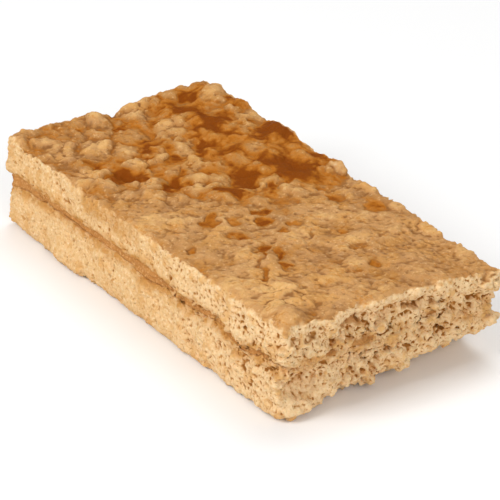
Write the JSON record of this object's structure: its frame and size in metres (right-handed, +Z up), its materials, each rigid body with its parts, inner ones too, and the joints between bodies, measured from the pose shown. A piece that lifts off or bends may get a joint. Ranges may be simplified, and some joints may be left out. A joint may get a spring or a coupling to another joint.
{
  "type": "granola bar",
  "caption": "Soft rectangular granola bar slice: crumbly base and top layers joined by a thin band of paste, lumpy baked skin above, one crumbling end.",
  "frame": {"origin": "middle of the footprint, on the flat underside", "axes": "+X along the length, towards the crumbling end; +Y across the width, away from the cut face that the picture shows; +Z up through the lumpy skin"},
  "size_m": [0.1048, 0.0512, 0.0231],
  "materials": {
    "base_crumb": "matt, dry cream crumb",
    "paste": "satin, soft brown paste",
    "top_crumb": "matt, tan baked skin over cream crumb"
  },
  "bodies": {
    "root": {"bottom_layer": "base_crumb", "filling": "paste", "top_layer": "top_crumb"}
  },
  "joints": []
}
